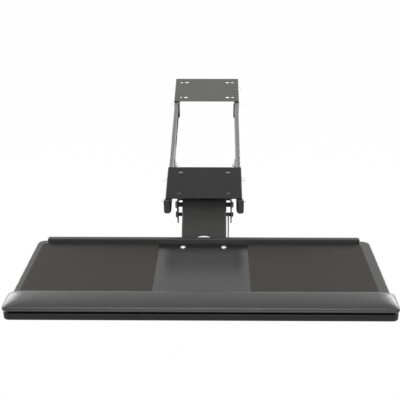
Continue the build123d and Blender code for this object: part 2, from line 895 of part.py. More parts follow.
# Tilt bolt, friction washers and clamping knob
ear_start = head_width / 2 + ear_clearance
ear_end = ear_start + ear_sheet
bolt_left = -ear_end - washer_thickness
knob_start = ear_end + washer_thickness
bolt_right = knob_start + knob_length - knob_wall
bolt_bore = tilt_bolt_diameter / 2 + running_clearance
with BuildPart() as tilt_bolt:
    with BuildSketch(Plane.YZ.offset(bolt_left)):
        with Locations((tilt_y, tilt_z)):
            Circle(tilt_bolt_diameter / 2)
    extrude(amount=bolt_right - bolt_left)
    with BuildSketch(Plane.YZ.offset(bolt_left)):
        with Locations((tilt_y, tilt_z)):
            RegularPolygon(tilt_bolt_head / 2, 6, major_radius=False)
    extrude(amount=-tilt_bolt_head_height)
save(tilt_bolt, "tilt_bolt")

with BuildPart() as tilt_washers:
    for start in (head_width / 2, ear_end):
        for name, side in sides:
            tube(
                tilt_y,
                tilt_z,
                bolt_bore,
                washer_diameter / 2,
                side * start,
                side * (start + washer_thickness),
            )
save(tilt_washers, "tilt_washers")

lobe_ring = knob_diameter / 2 - knob_lobe_diameter / 2
with BuildPart() as knob:
    with BuildSketch(Plane.YZ.offset(knob_start + knob_boss_length)):
        with Locations((tilt_y, tilt_z)):
            Circle(lobe_ring)
            with PolarLocations(lobe_ring, knob_lobes):
                Circle(knob_lobe_diameter / 2)
        fillet(vertices(), knob_edge)
    extrude(amount=knob_length - knob_boss_length)
    chamfer(edges().group_by(Axis.X)[-1], knob_edge)
    with BuildSketch(Plane.YZ.offset(knob_start)):
        with Locations((tilt_y, tilt_z)):
            Circle(knob_boss_diameter / 2)
    extrude(amount=knob_boss_length)
    with BuildSketch(Plane.YZ.offset(knob_start)):
        with Locations((tilt_y, tilt_z)):
            Circle(bolt_bore)
    extrude(amount=knob_length - knob_wall + bore_clearance, mode=Mode.SUBTRACT)
save(knob, "tilt_knob")


def on_tray(x, v, n):
    """Place above the tray face: x to the right, v to the rear, n off the surface"""
    return tray_face.offset(n).location * Location((x, v, 0))


def tray_holes(places, radius, start, depth):
    """Cut round holes down into the tray from the level start"""
    for x, v in places:
        with Locations(on_tray(x, v, start)):
            Cylinder(radius, depth, align=down_from_top, mode=Mode.SUBTRACT)


# Places of the fasteners in the tray
bolt_places = [(side * tray_bolt_spacing / 2, -tray_bolt_set_back) for name, side in sides]
mount_screw_places = [(side * tray_bolt_spacing / 2, -mount_screw_set_back) for name, side in sides]
rest_rows = [
    rest_screw_spacing * (step - (rest_screw_count - 1) / 2) for step in range(rest_screw_count)
]
rest_screw_v = -(tray_depth + rest_front) / 2
base_screw_v = -tray_depth + rest_base_lap / 2
rest_screw_places = [(x, rest_screw_v) for x in rest_rows]
base_screw_places = [(x, base_screw_v) for x in rest_rows]
bar_v = -bar_rear - bar_depth / 2
bar_rows = [bar_screw_spacing * (step - (bar_screw_count - 1) / 2) for step in range(bar_screw_count)]
bar_screw_places = [(x, bar_v) for x in bar_rows]
under_tray = -tray_thickness
under_mount = under_tray - mount_sheet
bolt_shank = tray_bolt_diameter / 2
screw_shank = wood_screw_diameter / 2
base_top = -rest_bottom - rest_board_thickness
base_under = base_top - rest_base_thickness

# Tray board
with BuildPart() as tray:
    with BuildSketch(tray_face):
        Rectangle(tray_width, tray_depth, align=(Align.CENTER, Align.MAX))
        fillet(vertices().group_by(Axis.Y)[-1], tray_corner)
    extrude(amount=-tray_thickness)
    top_edges = faces().sort_by(tray_face.location.z_axis)[-1].edges()
    fillet(top_edges - faces().sort_by(Axis.Y)[0].edges(), tray_edge)
    tray_holes(bolt_places, bolt_shank + bore_clearance, overrun, tray_thickness + 2 * overrun)
    tray_holes(
        mount_screw_places,
        screw_shank + running_clearance,
        under_mount + mount_sheet + wood_screw_grip + bore_clearance,
        tray_thickness,
    )
    tray_holes(
        base_screw_places,
        screw_shank + running_clearance,
        under_tray + wood_screw_grip + bore_clearance,
        tray_thickness,
    )
    tray_holes(bar_screw_places, screw_shank + bore_clearance, overrun, tray_thickness + 2 * overrun)
save(tray, "tray_board")

# Mouse pad and keyboard pad, glued on the board either side of its bare middle
for (name, side), rim in zip(sides, (left_pad_rim, right_pad_rim)):
    pad_outer = tray_width / 2 - rim
    with BuildPart() as pad:
        with BuildSketch(tray_face):
            with Locations((side * (pad_inner + pad_outer) / 2, -(pad_rear + pad_front) / 2)):
                RectangleRounded(pad_outer - pad_inner, pad_front - pad_rear, pad_corner)
        extrude(amount=pad_thickness)
        fillet(faces().sort_by(Axis.Z)[-1].edges(), pad_thickness / 3)
    save(pad, name + "_pad")

# Stop bar, screwed on from below
with BuildPart() as bar:
    with BuildSketch(tray_face):
        with Locations((0, bar_v)):
            RectangleRounded(bar_length, bar_depth, bar_end)
    extrude(amount=bar_height)
    fillet(faces().sort_by(Axis.Z)[-1].edges(), bar_edge)
    tray_holes(
        bar_screw_places,
        screw_shank + running_clearance,
        bar_screw_grip + bore_clearance,
        tray_thickness,
    )
save(bar, "rear_stop_bar")

# Palm rest base: a stepped board under the tray's front edge
lap_rear = -tray_depth + rest_base_lap
with BuildPart() as rest_base:
    with BuildSketch(tray_side.offset(-rest_base_length / 2)):
        with BuildLine():
            Polyline(
                (lap_rear, under_tray),
                (-tray_depth - rest_gap, under_tray),
                (-tray_depth - rest_gap, base_top),
                (-rest_front + rest_base_inset, base_top),
                (-rest_front + rest_base_inset, base_under),
                (lap_rear, base_under),
                close=True,
            )
        make_face()
    extrude(amount=rest_base_length)
    fillet(edges().filter_by(tray_face.location.z_axis).group_by(Axis.Y)[0], rest_base_corner)
    tray_holes(rest_screw_places + base_screw_places, screw_shank + bore_clearance, overrun, rest_front)
save(rest_base, "palm_rest_base")

# Palm rest board: a narrower strip that leaves a dark groove below the cushion
board_rear = -tray_depth - rest_gap
board_front = -rest_front + rest_board_inset
with BuildPart() as rest_board:
    with BuildSketch(tray_face.offset(base_top)):
        with Locations((0, (board_rear + board_front) / 2)):
            RectangleRounded(rest_board_length, board_rear - board_front, rest_board_inset)
    extrude(amount=rest_board_thickness)
    tray_holes(rest_screw_places, screw_shank + running_clearance, overrun, rest_front)
save(rest_board, "palm_rest_board")

# Palm rest cushion: crowned, with its sides drawn in towards the board
cushion_rear = -tray_depth - rest_gap
cushion_depth = rest_front + cushion_rear
crown_v = cushion_rear - rest_crown_share * cushion_depth


def cushion_section(x, inset, crown):
    """Section across the cushion, drawn in by inset all round and lowered to crown"""
    front = -rest_front + inset
    rear = cushion_rear - inset
    foot = rest_bottom_inset
    with BuildSketch(tray_side.offset(x)) as section:
        with BuildLine():
            Line((rear - foot, -rest_bottom), (front + foot, -rest_bottom))
            front_arc = ThreePointArc(
                (front + foot, -rest_bottom),
                (front + foot / 5, -rest_bottom * rest_front_share),
                (front + foot / 5, 0),
            )
            Spline(
                front_arc @ 1,
                (crown_v, crown),
                (rear, rest_rear_rise),
                tangents=[(0, 1), (rest_top, -rest_top / 2)],
            )
            Line((rear, rest_rear_rise), (rear - foot, -rest_bottom))
        make_face()
    return section.sketch


# Its ends draw in and down along a quarter ellipse
end_turns = [math.pi / 2 * step / rest_end_steps for step in range(rest_end_steps + 1)]
end_places = [rest_length / 2 - rest_end_length * (1 - math.sin(turn)) for turn in end_turns]
end_insets = [rest_end_round * (1 - math.cos(turn)) for turn in end_turns]
with BuildPart() as cushion:
    extrude(cushion_section(-end_places[0], 0, rest_top), amount=2 * end_places[0])
    for name, side in sides:
        for step in range(rest_end_steps):
            loft(
                [
                    cushion_section(side * end_places[near], end_insets[near], rest_top - end_insets[near])
                    for near in (step, step + 1)
                ]
            )
save(cushion, "palm_rest_cushion")

# Tray bracket: a folded plate under the board with two ears down to the tilt bolt
mount_middle = -(mount_rear + mount_front) / 2
with BuildPart() as mount:
    with BuildSketch(tray_face.offset(under_tray)):
        with Locations((0, mount_middle)):
            RectangleRounded(mount_width, mount_front - mount_rear, mount_corner)
    extrude(amount=-mount_sheet)
    for start in (ear_start, -ear_end):
        with BuildSketch(tray_side.offset(start)) as ear_sketch:
            with Locations((-tray_behind_pin, -tray_over_pin)):
                Circle(head_tilt_radius)
            with Locations((-tray_behind_pin, under_mount + mount_sheet / 2)):
                Rectangle(2 * ear_root, mount_sheet, align=(Align.CENTER, Align.MAX))
            make_hull(ear_sketch.sketch_local.edges())
        extrude(amount=ear_sheet)
    with Locations(across(-bracket_width / 2, tilt_y, tilt_z, 1)):
        Cylinder(bolt_bore, bracket_width, align=up_from_base, mode=Mode.SUBTRACT)
    tray_holes(bolt_places, bolt_shank + bore_clearance, overrun, rest_front)
    tray_holes(mount_screw_places, screw_shank + bore_clearance, overrun, rest_front)
save(mount, "tray_bracket")


def tray_screws(places, under, length, piece_name):
    """Pan-head screws driven up into the tray from the level under"""
    with BuildPart() as screws:
        for x, v in places:
            with Locations(on_tray(x, v, under)):
                Cylinder(wood_screw_head / 2, wood_screw_head_height, align=down_from_top)
                Cylinder(screw_shank, length, align=up_from_base)
        head_rims = edges().filter_by(GeomType.CIRCLE).group_by(SortBy.RADIUS)[-1]
        under_rims = [rim for rim in head_rims if is_under(rim, under)]
        chamfer(under_rims, wood_screw_head_height / 3)
    save(screws, piece_name)


def is_under(rim, level):
    """Whether an edge lies clear below a level of the tray"""
    return tray_face.to_local_coords(rim.center()).Z < level - wood_screw_head_height / 2


# Bolts through the board, and screws from below
with BuildPart() as tray_bolts:
    for x, v in bolt_places:
        with Locations(on_tray(x, v, 0)):
            Cone(
                tray_bolt_head / 2,
                tray_bolt_head / 3,
                tray_bolt_head_height,
                align=up_from_base,
            )
            Cylinder(
                bolt_shank,
                tray_nut_height + tray_bolt_end - under_mount,
                align=down_from_top,
            )
save(tray_bolts, "tray_bolts")

with BuildPart() as tray_nuts:
    with BuildSketch(tray_face.offset(under_mount)):
        with Locations(*bolt_places):
            RegularPolygon(tray_nut_flats / 2, 6, major_radius=False)
            Circle(bolt_shank + running_clearance, mode=Mode.SUBTRACT)
    extrude(amount=-tray_nut_height)
save(tray_nuts, "tray_nuts")

tray_screws(mount_screw_places, under_mount, mount_sheet + wood_screw_grip, "bracket_screws")
tray_screws(bar_screw_places, under_tray, tray_thickness + bar_screw_grip, "bar_screws")
tray_screws(base_screw_places, base_under, under_tray - base_under + wood_screw_grip, "tray_edge_screws")
tray_screws(rest_screw_places, base_under, -rest_bottom - base_under, "palm_rest_screws")
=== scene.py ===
import json
import math

import bmesh
import bpy
import numpy as np
from mathutils import Matrix, Vector


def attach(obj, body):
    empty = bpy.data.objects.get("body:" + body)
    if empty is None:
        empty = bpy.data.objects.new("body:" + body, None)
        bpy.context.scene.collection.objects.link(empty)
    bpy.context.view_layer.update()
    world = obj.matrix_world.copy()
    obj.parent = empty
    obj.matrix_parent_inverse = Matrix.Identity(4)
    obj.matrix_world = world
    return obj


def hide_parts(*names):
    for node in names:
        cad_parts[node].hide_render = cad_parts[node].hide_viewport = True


# A keyboard tray on a sliding, swivelling lift arm, as it hangs under a desk.
# Metres. X points right, Y to the wall, Z up, from the front desk bracket's top face.
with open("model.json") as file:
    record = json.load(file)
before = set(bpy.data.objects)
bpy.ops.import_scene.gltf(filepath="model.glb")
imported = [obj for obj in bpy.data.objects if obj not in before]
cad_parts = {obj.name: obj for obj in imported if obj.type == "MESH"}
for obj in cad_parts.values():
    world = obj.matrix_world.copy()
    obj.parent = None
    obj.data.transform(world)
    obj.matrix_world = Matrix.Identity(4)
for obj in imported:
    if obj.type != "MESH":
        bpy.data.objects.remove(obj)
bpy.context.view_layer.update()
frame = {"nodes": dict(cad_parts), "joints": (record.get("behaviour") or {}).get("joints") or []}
nodes = frame["nodes"]
joints = {joint["name"]: joint for joint in frame["joints"]}


# Camera
# Above the user's head and a little to the right, looking down at the tray and back
# along the slides. Its place was fitted to the brackets' and the tray's corners.
camera_place = (0.0329, -1.3765, 1.0045)
camera_pitch = math.radians(37.814)
camera_yaw = math.radians(-0.687)
camera_roll = math.radians(0.247)
camera_shift = (-0.03, 0.015)
camera_lens = 72.0
camera_sensor = 36.0


def aim(pitch, yaw, roll):
    """Turn of a camera that looks along +Y at yaw 0, down by pitch, and then rolls"""
    ahead = Vector(
        (math.sin(yaw) * math.cos(pitch), math.cos(yaw) * math.cos(pitch), -math.sin(pitch))
    )
    level = Vector((math.cos(yaw), -math.sin(yaw), 0))
    down = ahead.cross(level)
    right = level * math.cos(roll) + down * math.sin(roll)
    up = level * math.sin(roll) - down * math.cos(roll)
    return Matrix((right, up, -ahead)).transposed().to_4x4()


camera = bpy.data.objects.new("camera", bpy.data.cameras.new("camera"))
camera.data.sensor_width = camera_sensor
camera.data.lens = camera_lens
camera.data.shift_x, camera.data.shift_y = camera_shift
camera.data.clip_start = 0.05
camera.matrix_world = Matrix.Translation(camera_place) @ aim(camera_pitch, camera_yaw, camera_roll)
bpy.context.scene.collection.objects.link(camera)
bpy.context.scene.camera = camera
bpy.context.scene.view_settings.view_transform = "Standard"


# Floor and light
# A plain white floor 0.72 m under the brackets' tops, a white room round it, one large soft
# lamp above the front and a smaller one behind each side.
floor_drop = 0.72
floor_half = 9.0
room_level = 0.36
floor_direct_share = 0.985
top_lamp_place = (0, -1.5, 1.5)
top_lamp_target = (0, -0.1, 0)
top_lamp_size = 1.2
top_lamp_power = 17.0
back_lamp_place = (1.15, 0.9, 0.2)
back_lamp_target = (0.3, -0.3, -0.1)
back_lamp_size = 0.6
back_lamp_power = 13.0


class Wire:
    """A shader socket: sums, differences and products on it add the Math nodes they need"""

    def __init__(self, finish, socket):
        self.finish = finish
        self.socket = socket

    def math(self, operation, first, second):
        return self.finish.node("ShaderNodeMath", {"operation": operation}, {0: first, 1: second})

    def __add__(self, other):
        return self.math("ADD", self, other)

    def __radd__(self, other):
        return self.math("ADD", other, self)

    def __sub__(self, other):
        return self.math("SUBTRACT", self, other)

    def __mul__(self, other):
        return self.math("MULTIPLY", self, other)

    def __rmul__(self, other):
        return self.math("MULTIPLY", other, self)


class Finish:
    """A material or world made of nodes"""

    def __init__(self, name, holder=None):
        self.holder = holder or bpy.data.materials.new(name)
        self.holder.use_nodes = True
        self.tree = self.holder.node_tree

    def node(self, kind, settings=None, inputs=None, output=0):
        """Adds a node: its settings first, a ramp's stops among them, then its sockets"""
        made = self.tree.nodes.new(kind)
        for key, value in (settings or {}).items():
            if key == "stops":
                ramp = made.color_ramp.elements
                while len(ramp) < len(value):
                    ramp.new(0.5)
                for element, (place, colour) in zip(ramp, value):
                    element.position = place
                    element.color = colour
            else:
                setattr(made, key, value)
        for key, value in (inputs or {}).items():
            if isinstance(value, Wire):
                self.tree.links.new(value.socket, made.inputs[key])
            else:
                made.inputs[key].default_value = value
        return Wire(self, made.outputs[output])

    def blend(self, share, first, second):
        """Colour that goes from first to second as share goes from 0 to 1"""
        settings = {"data_type": "RGBA"}
        return self.node("ShaderNodeMix", settings, {0: share, 6: first, 7: second}, 2)

    def ramp(self, value, low, high):
        """0 where value is under low, 1 where it is over high, and straight between"""
        inputs = {"Value": value, "From Min": low, "From Max": high}
        return self.node("ShaderNodeMapRange", {"clamp": True}, inputs)

    def place(self, stretch=(1, 1, 1), turn=(0, 0, 0)):
        """Object coordinates, stretched and turned"""
        source = self.node("ShaderNodeTexCoord", output="Object")
        inputs = {"Vector": source, "Rotation": turn, "Scale": stretch}
        return self.node("ShaderNodeMapping", {"vector_type": "TEXTURE"}, inputs)

    def noise(self, size, detail=3.0, place=None, rough=0.55):
        """Soft noise from 0 to 1 whose patches are about size metres across"""
        inputs = {"Vector": place or self.place(), "Scale": 1 / size}
        inputs.update({"Detail": detail, "Roughness": rough})
        return self.node("ShaderNodeTexNoise", {}, inputs, "Fac")

    def cells(self, size):
        """Distance to the edges of irregular cells about size metres across"""
        inputs = {"Vector": self.place(), "Scale": 1 / size}
        settings = {"feature": "DISTANCE_TO_EDGE"}
        return self.node("ShaderNodeTexVoronoi", settings, inputs, "Distance")

    def surface(self, **sockets):
        """Sets the main shader's sockets; a height and its depth become a Bump node"""
        shader = self.tree.nodes["Principled BSDF"]
        height = sockets.pop("height", None)
        depth = sockets.pop("depth", 0)
        if height is not None:
            inputs = {"Height": height, "Distance": depth, "Strength": 1.0}
            sockets["Normal"] = self.node("ShaderNodeBump", {}, inputs)
        for key, value in sockets.items():
            socket = shader.inputs[key.replace("_", " ")]
            if isinstance(value, Wire):
                self.tree.links.new(value.socket, socket)
            else:
                socket.default_value = value
        return self.holder


def grey(level, warmth=0.0):
    """Linear grey, a little warmer or cooler"""
    return (level * (1 + warmth), level, level * (1 - warmth), 1)


def flat_mesh(name, corners, faces):
    """Mesh object from a list of corners and faces, at the origin"""
    mesh = bpy.data.meshes.new(name)
    mesh.from_pydata([tuple(corner) for corner in corners], [], [tuple(face) for face in faces])
    piece = bpy.data.objects.new(name, mesh)
    bpy.context.scene.collection.objects.link(piece)
    return piece


def seen_directly(finish):
    """1 for rays from the camera, from gloss and through glass, else 0"""
    path = "ShaderNodeLightPath"
    camera_ray = finish.node(path, output="Is Camera Ray")
    glossy_ray = finish.node(path, output="Is Glossy Ray")
    clear_ray = finish.node(path, output="Is Transmission Ray")
    return camera_ray + glossy_ray + clear_ray


floor_signs = ((-1, -1), (1, -1), (1, 1), (-1, 1))
floor_corners = [(x * floor_half, y * floor_half, -floor_drop) for x, y in floor_signs]
floor = flat_mesh("floor", floor_corners, [range(4)])
floor_finish = Finish("white_floor")
floor_finish.surface(Base_Color=grey(0.9), Roughness=0.9)
floor_glow = floor_finish.node("ShaderNodeEmission", {}, {"Color": grey(1.0), "Strength": 1.0})
floor_output = floor_finish.tree.nodes["Material Output"]
floor_matt = Wire(floor_finish, floor_finish.tree.nodes["Principled BSDF"].outputs[0])
floor_share = seen_directly(floor_finish) * floor_direct_share
floor_inputs = {0: floor_share, 1: floor_matt, 2: floor_glow}
floor_mix = floor_finish.node("ShaderNodeMixShader", {}, floor_inputs)
floor_finish.tree.links.new(floor_mix.socket, floor_output.inputs["Surface"])
floor.data.materials.append(floor_finish.holder)

room = Finish("room", bpy.data.worlds.new("room"))
bpy.context.scene.world = room.holder
room_background = room.tree.nodes["Background"]
room_background.inputs["Color"].default_value = grey(1.0)
room_direct = seen_directly(room)
room_strength = room_direct.math("MAXIMUM", room_direct, room_level)
room.tree.links.new(room_strength.socket, room_background.inputs["Strength"])


def soft_lamp(name, place, target, size, power):
    """Square soft lamp at place, turned towards target"""
    lamp = bpy.data.objects.new(name, bpy.data.lights.new(name, "AREA"))
    lamp.data.shape = "SQUARE"
    lamp.data.size = size
    lamp.data.energy = power
    turn = (Vector(target) - Vector(place)).to_track_quat("-Z", "Y")
    lamp.matrix_world = Matrix.Translation(place) @ turn.to_matrix().to_4x4()
    bpy.context.scene.collection.objects.link(lamp)


soft_lamp("top_lamp", top_lamp_place, top_lamp_target, top_lamp_size, top_lamp_power)
for side in (-1, 1):
    place, target = (
        (side * across, along, height)
        for across, along, height in (back_lamp_place, back_lamp_target)
    )
    soft_lamp(f"back_lamp_{side + 1}", place, target, back_lamp_size, back_lamp_power)


# Desk brackets
# Folded steel channels with a powder coat, which has a fine orange-peel surface. The front
# one is black. The rear one is given a dark grey, which paints in the brighter reflection it
# shows.
def powder_coat(name, level, roughness, gloss=0.25, peel=0.00010):
    """Black coat: level is its grey, gloss its reflection, peel the depth of its waves"""
    coat = Finish(name)
    cloud = coat.noise(size=0.05, detail=2.0)
    specks = coat.noise(size=0.0006, detail=2.0)
    waves = coat.noise(size=0.0014, detail=2.0)
    colour = coat.blend(cloud, grey(level * 0.86, 0.01), grey(level * 1.14, 0.02))
    colour = coat.blend(coat.ramp(specks, 0.60, 0.75) * 0.25, colour, grey(level * 2.2))
    return coat.surface(
        Base_Color=colour,
        Roughness=roughness + 0.1 * waves + 0.06 * cloud,
        Specular_IOR_Level=gloss,
        height=waves * 0.7 + specks * 0.3,
        depth=peel,
    )


def dress(material, *names):
    """Gives the frame's pieces a material"""
    for name in names:
        slots = nodes[name].data.materials
        slots.clear()
        slots.append(material)


dress(powder_coat("front_bracket_coat", level=0.013, roughness=0.36), "front_desk_bracket")
# The rear bracket's dark grey is painted reflection: a lighter base colour standing in for the
# white surround it mirrors.
dress(powder_coat("rear_bracket_coat_painted_reflection", level=0.145, roughness=0.36), "rear_desk_bracket")


# Slides
# Roll-formed steel channels with a dull zinc finish. Rolling leaves fine lines along
# them. The carriage plate between them has the same finish. Balls are polished steel.
line_length_ratio = 60


def zinc_plate(name, level, roughness, line_size=0.0, depth=0.00003):
    """Zinc: soft cloudy spangle, and rolling lines along Y where line_size is given"""
    zinc = Finish(name)
    cloud = zinc.noise(size=0.018)
    grain = zinc.noise(size=0.0012)
    if line_size:
        lines = zinc.noise(line_size, place=zinc.place(stretch=(1, line_length_ratio, 1)))
        grain = grain * 0.3 + lines * 0.7
    colour = zinc.blend(cloud, grey(level * 0.9, -0.012), grey(level * 1.06, 0.012))
    colour = zinc.blend(zinc.ramp(grain, 0.52, 0.72) * 0.3, colour, grey(level * 0.62))
    return zinc.surface(
        Base_Color=colour,
        Metallic=1.0,
        Roughness=roughness + 0.16 * grain,
        height=grain,
        depth=depth,
    )


rail_zinc = zinc_plate("rolled_rail_zinc", level=0.24, roughness=0.34, line_size=0.0009)
dress(rail_zinc, "left_rail", "right_rail", "left_slide", "right_slide")
cage_zinc = zinc_plate("cage_zinc", level=0.42, roughness=0.34, line_size=0.0012)
dress(cage_zinc, "left_ball_cage", "right_ball_cage")
carriage_zinc = zinc_plate("carriage_zinc", level=0.30, roughness=0.36, line_size=0.0012)
dress(carriage_zinc, "carriage_plate")
bright_zinc = zinc_plate("bright_zinc", level=0.66, roughness=0.20)
ball_steel = zinc_plate("ball_steel", level=0.78, roughness=0.06, depth=0.000004)
dress(ball_steel, "left_slide_balls", "right_slide_balls")


# Fasteners and pins
# Turned and headed steel with bright zinc plate. The side rod is duller, and the yoke's pins
# and the arm's pivot tube are black.
dress(
    bright_zinc,
    "rail_screws", "rail_nuts", "carriage_bolts", "carriage_nuts", "swivel_bolt", "swivel_nut",
    "upper_front_pin", "lower_front_pin", "tilt_bolt", "lower_link", "tray_bolts", "tray_nuts",
    "bracket_screws", "bar_screws", "tray_edge_screws", "palm_rest_screws",
)
dress(zinc_plate("rod_zinc", level=0.34, roughness=0.36), "side_rod")
pin_black = powder_coat("pin_black", level=0.012, roughness=0.40)
dress(pin_black, "upper_rear_pin", "lower_rear_pin", "arm_pivot_tube")


# Moulded plastic
# End caps, rear stops, spacers and the clamp knob in black, with a spark-eroded grain from
# the mould, and bushes and washers in natural nylon.
def moulded(name, level, roughness, grain_size, depth, gloss=0.4):
    """Plastic with a fine pebbled grain and a faint haze"""
    plastic = Finish(name)
    inputs = {"Vector": plastic.place(), "Scale": 1 / grain_size, "Randomness": 1.0}
    pebble = plastic.node("ShaderNodeTexVoronoi", {"feature": "SMOOTH_F1"}, inputs, "Distance")
    haze = plastic.noise(size=0.03)
    colour = plastic.blend(haze, grey(level * 0.85), grey(level * 1.2))
    return plastic.surface(
        Base_Color=colour,
        Roughness=roughness + 0.12 * pebble + 0.05 * haze,
        Specular_IOR_Level=gloss,
        height=pebble,
        depth=depth,
    )


cap_grain = {"roughness": 0.42, "grain_size": 0.0009, "depth": 0.00006}
dress(
    moulded("black_moulded_plastic", level=0.022, **cap_grain),
    "left_rear_stop", "right_rear_stop", "link_spacers", "head_spacers", "tilt_knob",
)
# The end caps get a lighter copy of the black plastic, which paints light onto their shaded front
# faces.
dress(moulded("end_cap_plastic_painted_light", level=0.070, **cap_grain), "left_end_cap", "right_end_cap")
nylon = moulded("natural_nylon", level=0.72, roughness=0.40, grain_size=0.0015, depth=0.00003)
dress(nylon, "swivel_washer", "yoke_bushes", "arm_bushes", "tilt_washers")


# Yoke, arm, head and tray bracket
# Folded steel with a flatter coat than the desk brackets, dark grey on the arm and black on
# the rest.
dress(powder_coat("arm_coat", level=0.070, roughness=0.42, gloss=0.3), "arm_shell")
yoke_coat = powder_coat("yoke_coat", level=0.012, roughness=0.45)
dress(yoke_coat, "yoke", "tilt_head", "tray_bracket")


# Tray
# A board of wood fibre under a charcoal film with a fine leather-like emboss. It hangs
# with its front edge higher than its rear one.
tilt = math.radians(16.4)
tray_behind_pin = 0.036
tray_over_pin = 0.044
tilt_pin = Vector(joints["tray_tilt"]["pos_m"])
tray_back = Vector((0, math.cos(tilt), -math.sin(tilt)))
tray_up = Vector((0, math.sin(tilt), math.cos(tilt)))
tray_origin = Vector((0, tilt_pin.y, tilt_pin.z))
tray_origin += tray_back * tray_behind_pin + tray_up * tray_over_pin


def film(name, level, roughness):
    """Embossed film: small raised pebbles with painted shade in the valleys between them, and a
    soft satin sheen
    """
    skin = Finish(name)
    pebble = skin.cells(size=0.0016)
    cloud = skin.noise(size=0.09)
    valley_depth_and_shade = skin.ramp(pebble, 0.02, 0.22)
    # Darker colour in the valleys is painted shade.
    colour = skin.blend(valley_depth_and_shade, grey(level * 0.72, 0.015), grey(level * 1.08, 0.01))
    colour = skin.blend(cloud * 0.3, colour, grey(level * 1.25, 0.02))
    return skin.surface(
        Base_Color=colour,
        Roughness=roughness + 0.1 * cloud - 0.05 * valley_depth_and_shade,
        Specular_IOR_Level=0.55,
        height=valley_depth_and_shade,
        depth=0.00002,
    )


dress(film("tray_film", level=0.022, roughness=0.23), "tray_board")


# Pads
# Two thin mats glued on the board, one at each side of a bare panel: a fine woven top
# over rubber.
def woven(name, level, thread):
    """Plain weave: threads over and under along the tray's own two directions"""
    cloth = Finish(name)
    turned = cloth.place(turn=(-tilt, 0, 0))
    ripples = []
    for axis in "XY":
        along = cloth.node("ShaderNodeSeparateXYZ", {}, {0: turned}, axis)
        turns = along * (math.tau / (2 * thread))
        ripples.append(cloth.node("ShaderNodeMath", {"operation": "SINE"}, {0: turns}))
    weave_height_and_shade = ripples[0] * ripples[1] * 0.5 + 0.5
    lint = cloth.noise(size=0.0009, detail=4.0)
    cloud = cloth.noise(size=0.06)
    # Colour follows the weave's height: painted shade in its low places and painted highlight on
    # its high ones.
    colour = cloth.blend(weave_height_and_shade, grey(level * 0.78, 0.03), grey(level * 1.15, 0.04))
    colour = cloth.blend(lint * 0.35, colour, grey(level * 1.3, 0.05))
    colour = cloth.blend(cloud * 0.25, colour, grey(level * 0.8, 0.03))
    return cloth.surface(
        Base_Color=colour,
        Roughness=0.8 + 0.1 * lint,
        Specular_IOR_Level=0.1,
        height=weave_height_and_shade * 0.7 + lint * 0.3,
        depth=0.00012,
    )


dress(woven("pad_weave", level=0.064, thread=0.0007), "left_pad", "right_pad")


# Palm rest base
# A board screwed under the tray's front edge, lacquered black, with its top edge just
# broken and its lower edge well rounded.
same_place = 1e-6


def swept_solid(name, points):
    """Closed mesh from rows of points round a section, with a flat fan over both ends"""
    rows, columns = points.shape[:2]
    index = np.arange(rows * columns).reshape(rows, columns)
    right = np.roll(index, -1, axis=1)
    quads = np.stack([index[:-1], right[:-1], right[1:], index[1:]], axis=-1)
    faces = quads.reshape(-1, 4).tolist()
    corners = points.reshape(-1, 3)
    for row in (index[0], index[-1]):
        middle = len(corners)
        corners = np.vstack([corners, corners[row].mean(axis=0)])
        faces += [(middle, a, b) for a, b in zip(row.tolist(), np.roll(row, -1).tolist())]
    return smooth_mesh(name, corners, faces)


def smooth_mesh(name, corners, faces):
    """Smooth-shaded mesh without doubled corners, whose faces point outwards"""
    piece = flat_mesh(name, corners, faces)
    kit = bmesh.new()
    kit.from_mesh(piece.data)
    bmesh.ops.remove_doubles(kit, verts=kit.verts, dist=same_place)
    bmesh.ops.recalc_face_normals(kit, faces=kit.faces)
    kit.to_mesh(piece.data)
    kit.free()
    piece.data.polygons.foreach_set("use_smooth", [True] * len(piece.data.polygons))
    return piece


def on_tray(x, v, n):
    """Points in the tray's own directions: x right, v to the rear, n off its surface"""
    origin, back, up = (np.array(each) for each in (tray_origin, tray_back, tray_up))
    place = origin + v[..., None] * back + n[..., None] * up
    place[..., 0] = x
    return place


def rounded_outline(corners, radii, steps=6):
    """Closed outline whose corners are rounded: each is a quadratic curve between the points
    that lie its radius away along its two sides"""
    corners = np.array(corners, float)
    share = np.linspace(0, 1, steps)[:, None]
    pieces = []
    for number, radius in enumerate(radii):
        here = corners[number]
        before = corners[number - 1] - here
        after = corners[(number + 1) % len(corners)] - here
        first = here + before / np.linalg.norm(before) * radius
        last = here + after / np.linalg.norm(after) * radius
        pieces.append((1 - share) ** 2 * first + 2 * share * (1 - share) * here + share**2 * last)
    return np.vstack(pieces)


def crowded_ends(rows, half):
    """Places from -half to half, close together near both ends"""
    reach = np.linspace(-1, 1, rows)
    return np.sign(reach) * (1 - (1 - np.abs(reach)) ** crowding_power) * half


def corner_inset(x, half, radius):
    """How far a plan corner of this radius draws in at x, on a quarter circle"""
    past = np.clip(np.abs(x) - (half - radius), 0, radius)
    return radius - np.sqrt(radius**2 - past**2)


crowding_power = 2.4
rest_rear = -0.2334
base_half = 0.3475
base_front = -0.296
base_top = -0.0095
base_under = -0.024
base_lap_rear = -0.199
base_lap_top = -0.0161
base_corner = 0.012
base_lap_round = 0.001
base_seam_round = 0.0002
base_top_rear_round = 0.0005
base_top_front_round = 0.002
base_lower_round = 0.006


def base_points(rows):
    """Section of the base, with its lap under the tray, carried along x; its front edge
    draws in at both ends on a quarter circle"""
    outline = rounded_outline(
        [
            (base_lap_rear, base_lap_top), (rest_rear, base_lap_top), (rest_rear, base_top),
            (base_front, base_top), (base_front, base_under), (base_lap_rear, base_under),
        ],
        [
            base_lap_round, base_seam_round, base_top_rear_round,
            base_top_front_round, base_lower_round, base_lap_round,
        ],
    )
    x = crowded_ends(rows, base_half)
    inset = corner_inset(x, base_half, base_corner)
    share = np.clip((rest_rear - outline[:, 0]) / (rest_rear - base_front), 0, 1)
    v = outline[None, :, 0] + inset[:, None] * share[None, :]
    n = np.repeat(outline[None, :, 1], rows, axis=0)
    return on_tray(np.repeat(x[:, None], len(outline), axis=1), v, n)


